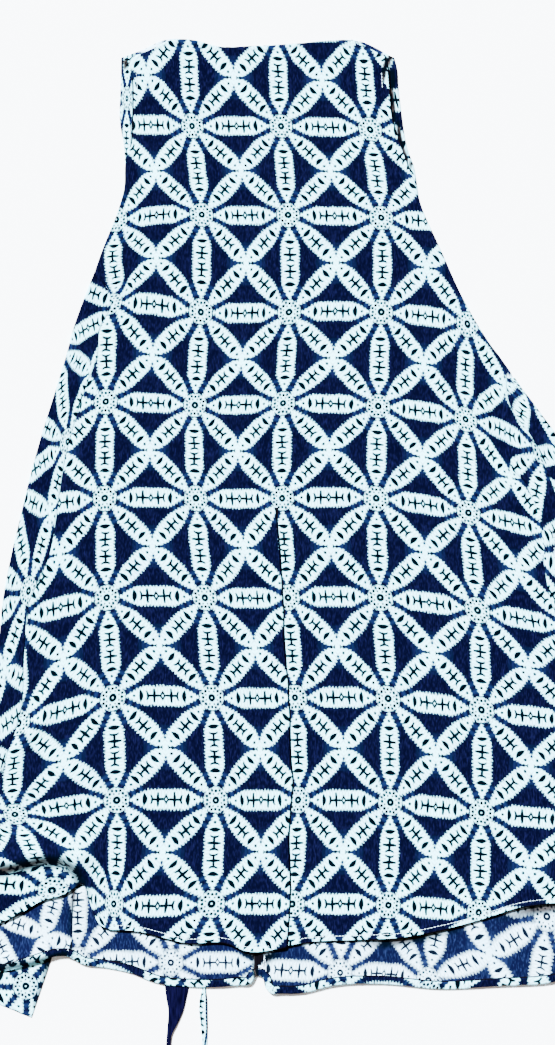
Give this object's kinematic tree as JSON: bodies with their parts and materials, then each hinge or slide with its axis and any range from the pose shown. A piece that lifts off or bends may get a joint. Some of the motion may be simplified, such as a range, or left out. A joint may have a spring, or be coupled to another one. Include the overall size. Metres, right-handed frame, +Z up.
{
  "type": "tunic top",
  "caption": "Sleeveless flared tunic top in printed cloth, laid flat, with a front panel, a longer back panel and ties at the hem.",
  "frame": {"origin": "under the middle of the garment's box, on the surface that it lies on", "axes": "+Y from the hem towards the neck edge, +X to the right as seen from above, +Z up out of the surface"},
  "size_m": [0.6898, 1.0276, 0.0191],
  "materials": {
    "printed_cloth": "matt woven cloth with a navy and white lattice print",
    "printed_cloth_back": "the same cloth, paler on its wrong side",
    "navy_cloth": "matt woven cloth in the print's navy"
  },
  "bodies": {
    "root": {"front_panel": "printed_cloth", "back_panel": "printed_cloth_back", "sash_end": "printed_cloth", "tie_wide": "navy_cloth", "tie_narrow": "printed_cloth"}
  },
  "joints": []
}
